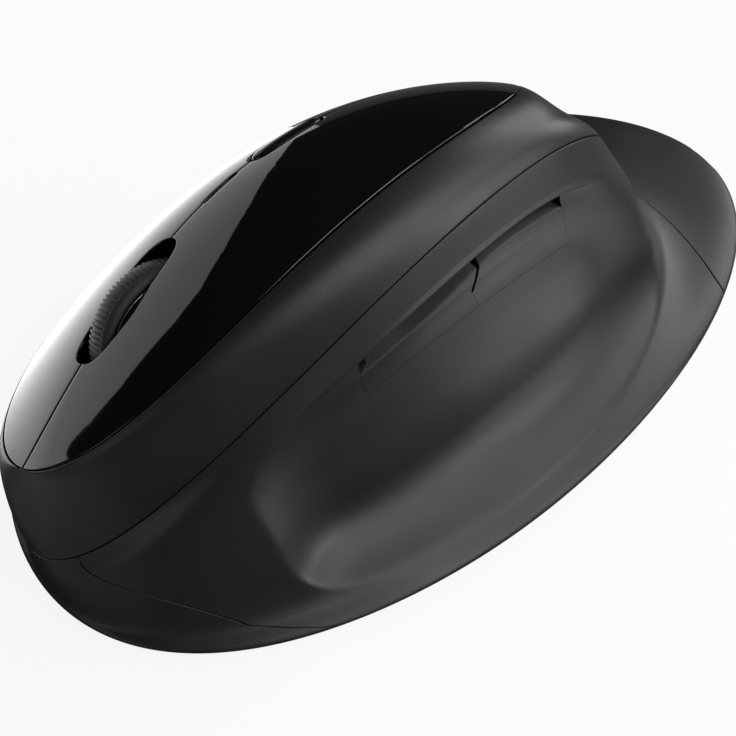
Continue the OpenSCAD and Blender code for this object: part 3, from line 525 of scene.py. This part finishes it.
# Main keys: T values run along the panel from tip to tip, widths are in mm
WHEEL_T, SLIT_T, DPI_T, KEY_T = (0.267, 0.419), (0.462, 0.508), (0.524, 0.615), (0.03, 0.966)
WHEEL_SLOT, WHEEL_BLUNT, SLIT_W, SLIT_BLUNT, DPI_BLUNT = 3.4, 5, 0.35, 8, 4
WHEEL_UNDER, UNDER_BLUNT = (0.256, 0.43), 9
MIDDLE, KEY_GAP, DPI_W, DPI_SIDE = 0.045, 0.26, 3.0, 0.5
KEY_R, KEY_ROUND_STEPS, KEY_COLUMNS = 0.24, 5, 40
KEY_TIPS = np.array([0, 0.0006, 0.0014, 0.0025, 0.004])
BACK_SHORT, BACK_GAP = (0.04, 0.03), KEY_GAP + 0.5
# A distance in mm past the reach of any rounded edge
FAR = 9.0


def bow(t, span, power):
    """Half width of a rounded slot, as a share: power says how blunt its ends are."""
    x = 2 * (t - span[0]) / (span[1] - span[0]) - 1
    return np.sqrt(np.maximum(0, 1 - np.abs(x) ** power))


def opening(t, slot=WHEEL_T, blunt=WHEEL_BLUNT):
    """Half width of what the two keys leave open between them, in mm."""
    return (MIDDLE + (WHEEL_SLOT - MIDDLE) * bow(t, slot, blunt) + SLIT_W * bow(t, SLIT_T, SLIT_BLUNT)
            + (DPI_W / 2 + DPI_SIDE) * bow(t, DPI_T, DPI_BLUNT))


def main_key(hand, name, body, node):
    """One half of the panel; hand is -1 on the thumb side and 1 on the palm side."""
    t = np.unique(np.concatenate([
        KEY_T[0] + KEY_TIPS, KEY_T[1] - KEY_TIPS, np.linspace(KEY_T[0], WHEEL_T[0], 40),
        eased(*WHEEL_T, 70), np.linspace(WHEEL_T[1], SLIT_T[0], 10), eased(*SLIT_T, 24),
        eased(*DPI_T, 50), np.linspace(DPI_T[1], KEY_T[1], 60)]))[:, None]
    insets = KEY_R * (1 - np.cos(np.linspace(0, np.pi / 2, KEY_ROUND_STEPS + 1)))[:-1]
    inner, outer = share(t, 0, opening(t)), 1 - share(t, hand, KEY_GAP)
    inner_mm, outer_mm = share(t, 0, 1.0), share(t, hand, 1.0)
    flat = mix(inner + KEY_R * inner_mm, outer - KEY_R * outer_mm, np.linspace(0, 1, KEY_COLUMNS))
    s = np.hstack([inner + insets * inner_mm, flat, outer - insets[::-1] * outer_mm]) * hand
    t = np.repeat(t, s.shape[1], 1)
    run = np.linalg.norm(panel_along(t, s), axis=-1)
    from_seam = np.concatenate([insets, np.full(KEY_COLUMNS + KEY_ROUND_STEPS, FAR)])
    edges = [(t - KEY_T[0]) * run, (KEY_T[1] - t) * run, from_seam, from_seam[::-1]]
    face = panel(t, s) - soften(edges, KEY_R)[..., None] * panel_normal(t, s)
    t = np.clip(t, KEY_T[0] + BACK_SHORT[0], KEY_T[1] - BACK_SHORT[1])
    inner, outer = share(t, 0, opening(t, WHEEL_UNDER, UNDER_BLUNT)), 1 - share(t, hand, BACK_GAP)
    s = mix(inner, outer, np.linspace(0, 1, s.shape[1])) * hand
    back = panel(t, s) - KEY_WALL * panel_normal(t, s)
    grid_object(name, close(face, back), body, node, gloss_mat)


# Side keys: each has a ledge that drops into the slit, and the two meet at a slanted notch
NOTCH_V, NOTCH_TURN, NOTCH_HALF, NOTCH_SOFT = (3.585, 3.76), 2.0, 0.3, 0.006
NOTCH_GAP, NOTCH_WIDER, END_GAP, FLANGE_ENDS = 0.03, 0.3, 0.05, (2.0, 0.9)
KEY_LOW_GAP, SLIT_GAP = 0.002, 0.004
KEY_THICK, FLANGE_DEEP, FLANGE_WALL, THIN_FROM = WALL + 0.3, 1.6, 0.5, 0.5
SETTLE_ROUNDS = 3
# Ledge past the key's upper edge: rise in lines up the side, depth in mm
LEDGE = ((0.0, 0.03), (0.002, 0.09), (0.0045, 0.2), (0.014, 0.8), (0.028, FLANGE_DEEP))
FLANGE_RISE, FLANGE_SINK, FLANGE_FROM = 0.25, 0.2, (0.3, 1.0)
# Share of the key's height that its face reaches before the ledge, and the finer rows at the notch
FACE_REACH, NOTCH_ROWS = 0.985, (0.3, 0.5)


def side_key(hand, name, body, node):
    """Side key; hand is 0 for the front key and 1 for the rear one."""
    a_from, a_to = KEY_A[hand:hand + 2]
    rows = [(f, 0.0, 0.0) for f in steps((0, FACE_REACH, 44), (*NOTCH_ROWS, 16))]
    rows += [(1, lift, deep) for lift, deep in LEDGE]
    rows += [(1, LEDGE[-1][0] + FLANGE_RISE * q, FLANGE_DEEP + FLANGE_SINK * q)
             for q in np.linspace(0.1, 1, 8)]
    climb, lift, deep = (np.array(c) for c in zip(*rows))
    f, climb = np.meshgrid(np.linspace(0, 1, 90), climb, indexing="ij")
    deep = np.broadcast_to(deep, f.shape)
    flange = smooth(deep, *FLANGE_FROM)
    a = mix(a_from, a_to, f)
    # The rows depend on the angles and the key's ends on the rows, so a few rounds settle both
    for _ in range(SETTLE_ROUNDS):
        v = mix(KEY_V[0] + KEY_LOW_GAP, slit_low(a), climb)
        v = np.minimum(v + lift, np.maximum(slit_top(a) - SLIT_GAP, v))
        past = smooth(v, NOTCH_V[0] - NOTCH_SOFT, NOTCH_V[0] + NOTCH_SOFT)
        middle = KEY_A[1] + NOTCH_TURN * np.clip((v - NOTCH_V[0]) / (NOTCH_V[1] - NOTCH_V[0]), 0, 1)
        notch = NOTCH_GAP + NOTCH_HALF * past + NOTCH_WIDER * flange
        end = END_GAP + FLANGE_ENDS[hand] * flange
        a = mix(middle + notch, a_to - end, f) if hand else mix(a_from + end, middle - notch, f)
    skin, normal = thumb_side(a, v), side_normal(a, v)
    back_deep = np.minimum(np.where(deep > THIN_FROM, deep + FLANGE_WALL, KEY_THICK), KEY_THICK)
    face, back = skin - deep[..., None] * normal, skin - back_deep[..., None] * normal
    grid_object(name, close(face, back), body, node, thumb_mat)


# Resolution key: a pill with a domed top
DPI_GAP, DPI_PROUD, DPI_SUNK, DPI_TIP, DPI_DOME, DPI_CROWN = 0.5, 0.75, 0.25, 0.0004, 8, 0.98


def resolution_key():
    middle = (DPI_T[0] + DPI_T[1]) / 2
    half = (DPI_T[1] - DPI_T[0]) / 2 - DPI_GAP / np.linalg.norm(panel_along(middle, 0.0))
    u, f = (np.sin(np.linspace(-np.pi / 2, np.pi / 2, n)) for n in (61, 25))
    u, f = np.meshgrid(u, f, indexing="ij")
    t = middle + u * half
    wide = DPI_W / 2 * np.sqrt(np.maximum(DPI_TIP, 1 - np.abs(u) ** DPI_BLUNT))
    s = f * share(t, 0, wide)
    dome = DPI_PROUD * np.sqrt(np.maximum(0, (1 - np.abs(u) ** DPI_DOME) * (1 - (DPI_CROWN * f) ** 2)))
    normal = panel_normal(t, s)
    face = panel(t, s) + (dome - DPI_SUNK)[..., None] * normal
    back = panel(t, s) - KEY_WALL * normal
    grid_object("resolution_key_cap", close(face, back), "resolution_key", "dpi_button", dpi_mat)


# Scroll wheel: ribbed tyre and bright trim rings, in mm
WHEEL_D, WHEEL_W, WHEEL_PROUD, WHEEL_MID = 24.0, 5.3, 1.9, 0.34
HUB_D, HUB_CLEAR = WHEEL_D - 3.2, 0.02
CROWN_R, SHOULDER_W, SHOULDER_DROP, SHOULDER_CURVE = 7, 0.7, 0.55, 2.2
RIBS, RIB_POINTS, RIB_DEEP, RIB_FLANKS, RIB_START = 96, 10, 0.3, (0.2, 0.75), (-2.0, -1.5)
TRIM_INSET, TRIM_DROP, TRIM_HALF_W, TRIM_HALF_H = 0.12, 0.7, 0.15, 0.3


def turned(profile, n, wave=None):
    """Points of a profile of (across, radius) turned about the wheel's own axis."""
    z = panel_normal(WHEEL_MID, 0.0)
    y = -unit(panel_along(WHEEL_MID, 0.0))
    x = np.cross(y, z)
    at = panel(WHEEL_MID, 0.0) - z * (WHEEL_D / 2 - WHEEL_PROUD)
    phi = np.linspace(0, 2 * np.pi, n, endpoint=False)[:, None]
    across, radius = np.array(profile).T
    if wave:
        radius = radius + wave(phi, across)
    outward = np.cos(phi)[..., None] * y + np.sin(phi)[..., None] * z
    return at + across[:, None] * x + np.broadcast_to(radius, (n, len(across)))[..., None] * outward


def ribs(phi, across):
    """Grooves across the tyre, from one flank to near the other."""
    groove = 1 - smooth(0.5 + 0.5 * np.cos(RIBS * phi), *RIB_FLANKS)
    return -RIB_DEEP * groove * smooth(across, *RIB_START)


def wheel_tyre():
    half, n = WHEEL_W / 2, RIBS * RIB_POINTS
    across = np.linspace(-half, half, 49)
    crown = CROWN_R - np.sqrt(CROWN_R**2 - across**2)
    past = np.maximum(0, (np.abs(across) - (half - SHOULDER_W)) / SHOULDER_W)
    outside = list(zip(across, WHEEL_D / 2 - crown - SHOULDER_DROP * past ** SHOULDER_CURVE))
    bore = [(half, HUB_D / 2 + HUB_CLEAR), (-half, HUB_D / 2 + HUB_CLEAR)]
    tread, inside = turned(outside, n, ribs), turned(bore + outside[:1], n)
    grids = [tread, inside, rim(tread[:, -1], inside[:, 0])]
    grid_object("wheel_tyre_ribbed", grids, "wheel", "wheel_tyre", rubber_mat, loop=True)


def wheel_trim():
    rings = []
    for hand in (-1, 1):
        across, radius = hand * (WHEEL_W / 2 - TRIM_INSET), HUB_D / 2 - TRIM_DROP
        section = [(across + TRIM_HALF_W * math.cos(q), radius + TRIM_HALF_H * math.sin(q))
                   for q in np.linspace(0, 2 * np.pi, 12, endpoint=False)]
        rings.append(turned(section + section[:1], 200))
    grid_object("wheel_trim_rings", rings, "wheel", "wheel_trim", metal_mat, loop=True)


lower_shell()
thumb_panel()
top_frame()
main_key(-1, "left_key_plate", "left_key", "left_button")
main_key(1, "right_key_plate", "right_key", "right_button")
side_key(0, "forward_key_skin", "forward_key", "forward_button")
side_key(1, "back_key_skin", "back_key", "back_button")
resolution_key()
wheel_tyre()
wheel_trim()

# Materials of the CAD nodes that stay
NODE_LOOKS = {
    shell_mat: ("base_plate", "battery_door"),
    lens_mat: ("indicator_lens", "sensor_lens"),
    hub_mat: ("wheel_hub",),
    metal_mat: ("wheel_axle", "battery_contacts"),
    board_mat: ("button_board", "dpi_board", "side_board", "main_board"),
    switch_mat: ("wheel_encoder", "left_switch", "right_switch", "middle_switch", "dpi_switch",
                 "forward_switch", "back_switch", "optical_sensor", "power_switch"),
    inner_mat: ("wheel_carrier", "board_frame", "dpi_bracket", "side_bracket"),
    slider_mat: ("power_slider",),
    cell_mat: ("battery",),
    glide_mat: ("glide_feet",),
    steel_mat: ("case_screws", "board_screws"),
}
for look, names in NODE_LOOKS.items():
    for name in names:
        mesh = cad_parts[name].data
        mesh.materials.clear()
        mesh.materials.append(look)

# Studio, in metres: a floor that is near white to the camera and dark to reflections and bounces
FLOOR_HALF, FLOOR_Z = 6, -0.0002
FLOOR_GLOW, FLOOR_WHITE, FLOOR_GREY, FLOOR_ROUGH, FLOOR_SPREAD = 0.9, 0.9, 0.14, 0.7, 0.06
WORLD_FILL = 0.03


def pale_floor():
    """Floor that keeps the object's shadow, lets views from below through and shades nothing itself."""
    h = FLOOR_HALF
    mesh = bpy.data.meshes.new("studio_floor")
    mesh.from_pydata([(x, y, FLOOR_Z) for x, y in ((-h, -h), (h, -h), (h, h), (-h, h))], [], [(0, 1, 2, 3)])
    mat, tree, bsdf = new_material("floor_pale")
    out = next(n for n in tree.nodes if n.type == "OUTPUT_MATERIAL")
    rough_drift(tree, bsdf, FLOOR_ROUGH, FLOOR_SPREAD)
    seen = tree.nodes.new("ShaderNodeLightPath").outputs["Is Camera Ray"]
    tree.links.new(tint(tree, seen, grey(FLOOR_GREY), grey(FLOOR_WHITE)), bsdf.inputs["Base Color"])
    glow = tree.nodes.new("ShaderNodeEmission")
    part = tree.nodes.new("ShaderNodeMath")
    part.operation = "MULTIPLY"
    part.inputs[1].default_value = FLOOR_GLOW
    tree.links.new(seen, part.inputs[0])
    blend = tree.nodes.new("ShaderNodeMixShader")
    tree.links.new(part.outputs[0], blend.inputs[0])
    tree.links.new(bsdf.outputs[0], blend.inputs[1])
    tree.links.new(glow.outputs[0], blend.inputs[2])
    below = tree.nodes.new("ShaderNodeMixShader")
    tree.links.new(tree.nodes.new("ShaderNodeNewGeometry").outputs["Backfacing"], below.inputs[0])
    tree.links.new(blend.outputs[0], below.inputs[1])
    tree.links.new(tree.nodes.new("ShaderNodeBsdfTransparent").outputs[0], below.inputs[2])
    tree.links.new(below.outputs[0], out.inputs["Surface"])
    mesh.materials.append(mat)
    floor = link(mesh, "studio_floor")
    floor.visible_shadow = False


def white_world():
    """World that is white to the camera and a faint fill to everything else."""
    world = bpy.data.worlds.new("studio")
    bpy.context.scene.world = world
    world.use_nodes = True
    tree = world.node_tree
    ground = next(n for n in tree.nodes if n.type == "BACKGROUND")
    ground.inputs["Color"].default_value = (1, 1, 1, 1)
    seen = tree.nodes.new("ShaderNodeLightPath").outputs["Is Camera Ray"]
    tree.links.new(remap(tree, seen, WORLD_FILL, 1.0, 0, 1), ground.inputs["Strength"])


# Bright cards that only reflections see, and soft lamps round the object
PANEL_Z, CARD_Z, CARD_GREY = 0.045, 0.0008, 0.01
# Outline of the bright reflector on the palm side, as shares of its distance along +Y and +Z
GLOW_SHAPE = [(-0.34, -0.05), (-0.22, 0.17), (-0.092, 0.348), (0.05, 0.544), (0.247, 0.721), (0.408, 0.78),
              (0.486, 0.679), (0.52, 0.529), (0.557, 0.363), (0.556, 0.19), (0.53, 0.06), (0.515, -0.05)]
GLOW_FAR, GLOW_Y, REFLECTOR_GLOW = 0.9, 0.022, 1.2
# Outline of the bright table on the palm side
PALM_TABLE = [(0.041, -0.016), (0.93, -0.36), (0.93, 0.5), (0.48, 0.28), (0.25, 0.2), (0.12, 0.155),
              (0.05, 0.12), (0.028, 0.085), (0.032, 0.05), (0.04, 0.03)]
PALM_GLOW, PALM_NEAR_GLOW = 1.0, 0.14
# Arcs of bright table: azimuths in degrees, near and far edge, glow
TABLE_ARCS = {"thumb_table": ((282, 318), 0.05, 0.14, 1.7), "front_table": ((170, 205), 0.07, 0.4, 0.25)}
LAMP_AIM = (0, 0, 0.03)
# Lamps: azimuth, elevation and distance from the panel, size, power in watts
LAMPS = {
    "rear_softbox": ((0, 14, 1.1), (0.8, 0.55), 5.2),
    "rear_high_softbox": ((6, 43, 1.1), (0.4, 0.4), 3.4),
    "key_softbox": ((322, 40, 1.1), (0.6, 0.5), 1.9),
    "thumb_softbox": ((284, 40, 1.1), (0.5, 1.0), 5.2),
    "low_softbox": ((303, 8, 1.1), (0.6, 0.3), 3.0),
    "front_fill": ((190, 14, 1.1), (0.8, 0.55), 1.0),
    "under_fill": ((0, -90, 0.9), (0.4, 0.4), 1.6),
}


def toward(az, el):
    """Direction at an azimuth and elevation in degrees."""
    a, e = math.radians(az), math.radians(el)
    return Vector((math.sin(a) * math.cos(e), -math.cos(a) * math.cos(e), math.sin(e)))


def way(az, el, far):
    """Place at an azimuth and elevation in degrees, far metres from the panel."""
    return Vector((0, 0, PANEL_Z)) + far * toward(az, el)


def card(name, corners, glow, near_glow=0.0):
    """Bright card that only reflections see; near_glow brightens it toward the middle of the table."""
    mesh = bpy.data.meshes.new(name)
    mesh.from_pydata(corners, [], [tuple(range(len(corners)))])
    mat, tree, bsdf = new_material(name)
    bsdf.inputs["Base Color"].default_value = (*grey(CARD_GREY), 1)
    bsdf.inputs["Roughness"].default_value = 1.0
    bsdf.inputs["Specular IOR Level"].default_value = 0.0
    bsdf.inputs["Emission Color"].default_value = (1, 1, 1, 1)
    bsdf.inputs["Emission Strength"].default_value = glow
    if near_glow:
        reach = tree.nodes.new("ShaderNodeVectorMath")
        reach.operation = "LENGTH"
        tree.links.new(object_coords(tree), reach.inputs[0])
        fall, total = (tree.nodes.new("ShaderNodeMath") for _ in range(2))
        fall.operation, total.operation = "DIVIDE", "ADD"
        fall.inputs[0].default_value = near_glow
        total.inputs[1].default_value = glow
        tree.links.new(reach.outputs["Value"], fall.inputs[1])
        tree.links.new(fall.outputs[0], total.inputs[0])
        tree.links.new(total.outputs[0], bsdf.inputs["Emission Strength"])
    mesh.materials.append(mat)
    obj = link(mesh, name)
    obj.visible_camera = False
    obj.visible_diffuse = False
    obj.visible_shadow = False


def table_card(name, azimuths, near, far, glow):
    """Bright card lying on the floor between two arcs."""
    turn = np.linspace(*azimuths, 7)
    corners = [way(az, 0, near) for az in turn] + [way(az, 0, far) for az in turn[::-1]]
    card(name, [(p.x, p.y, CARD_Z) for p in corners], glow)


def area(name, place, size, power):
    light = bpy.data.lights.new(name, "AREA")
    light.shape = "RECTANGLE"
    light.size, light.size_y = size
    light.energy = power
    lamp = link(light, name)
    lamp.location = place
    lamp.rotation_euler = (Vector(LAMP_AIM) - place).to_track_quat("-Z", "Y").to_euler()


pale_floor()
white_world()
reflector = [(GLOW_FAR, GLOW_Y + GLOW_FAR * y, PANEL_Z + GLOW_FAR * z) for y, z in GLOW_SHAPE]
card("palm_reflector", reflector, REFLECTOR_GLOW)
card("palm_table", [(x, y, CARD_Z) for x, y in PALM_TABLE], PALM_GLOW, PALM_NEAR_GLOW)
for name, arc in TABLE_ARCS.items():
    table_card(name, *arc)
for name, (place, size, power) in LAMPS.items():
    area(name, way(*place), size, power)

# Camera: as the photo's, with the target in mm and the focal length in pixels of its frame
CAMERA_AZ, CAMERA_EL, DISTANCE = 232, 50, 0.5228
TARGET = Vector((np.array([-17.3, 13.1, 23.8]) - CENTRE) * MM)
FOCAL_PX, FRAME_PX, SENSOR, CLIP_START = 3723.0, 736.0, 36.0, 0.01
camera = bpy.data.cameras.new("photo_camera")
camera.sensor_width = SENSOR
camera.lens = SENSOR * FOCAL_PX / FRAME_PX
camera.clip_start = CLIP_START
eye = link(camera, "photo_camera")
back_way = toward(CAMERA_AZ, CAMERA_EL)
eye.location = TARGET + DISTANCE * back_way
eye.rotation_euler = back_way.to_track_quat("Z", "Y").to_euler()
bpy.context.scene.camera = eye
bpy.context.scene.view_settings.view_transform = "Standard"
